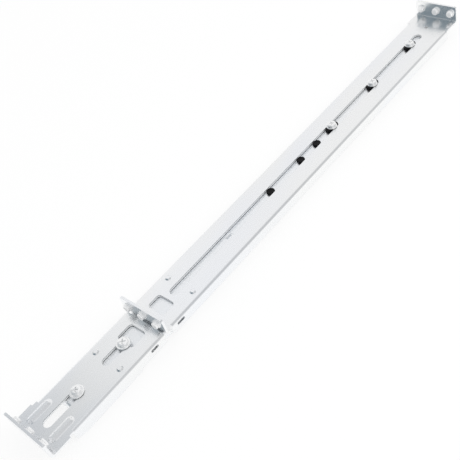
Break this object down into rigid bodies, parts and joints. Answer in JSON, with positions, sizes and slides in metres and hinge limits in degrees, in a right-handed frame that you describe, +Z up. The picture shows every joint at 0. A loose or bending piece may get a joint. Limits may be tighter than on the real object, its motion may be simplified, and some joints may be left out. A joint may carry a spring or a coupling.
{
  "type": "sliding server rail",
  "caption": "Telescoping server rail of plated sheet steel: a front bracket and a slotted rear rail with upturned mounting ears, joined by a nested inner slide on screws and nylon guides.",
  "frame": {"origin": "under the middle of the rail, on the plane that the front bracket's side walls stand on", "axes": "+X along the rail from the front ear to the rear ear, +Y to its left, +Z up out of the web, the way the ears turn"},
  "size_m": [0.552, 0.0472, 0.027],
  "materials": {
    "zinc_sheet": "bright zinc-plated sheet steel, satin",
    "ear_nuts": "bright plated clinch nuts",
    "bright_screws": "bright nickel-plated screws and washers",
    "plain_steel": "plain zinc-plated turned steel",
    "black_nylon": "moulded black nylon"
  },
  "bodies": {
    "rear_rail": {"rear_rail": "zinc_sheet", "middle_ear_nut_1": "ear_nuts", "middle_ear_nut_2": "ear_nuts", "middle_ear_nut_3": "ear_nuts", "rear_ear_nut_1": "ear_nuts", "rear_ear_nut_2": "ear_nuts", "rear_ear_nut_3": "ear_nuts"},
    "front_bracket": {"front_bracket": "zinc_sheet", "front_ear_nut_1": "ear_nuts", "front_ear_nut_2": "ear_nuts", "front_ear_nut_3": "ear_nuts"},
    "inner_slide": {"inner_slide": "zinc_sheet", "glide_button_1": "black_nylon", "glide_button_2": "black_nylon", "glide_button_3": "black_nylon", "guide_glide_1": "black_nylon", "guide_glide_2": "black_nylon", "guide_glide_3": "black_nylon", "guide_screw_1": "bright_screws", "guide_screw_2": "bright_screws", "guide_screw_3": "bright_screws", "guide_nut_1": "plain_steel", "guide_nut_2": "plain_steel", "guide_nut_3": "plain_steel", "front_washer": "bright_screws", "front_screw": "bright_screws", "front_nut": "plain_steel", "keyhole_screw": "bright_screws", "keyhole_nut": "plain_steel"}
  },
  "joints": [
    {"name": "bracket_travel", "type": "slide", "parent": "rear_rail", "child": "front_bracket", "axis": [-1, 0, 0], "range_m": [0, 0.106]},
    {"name": "keyhole_travel", "type": "slide", "parent": "front_bracket", "child": "inner_slide", "axis": [-1, 0, 0], "range_m": [0, 0.0175]}
  ]
}
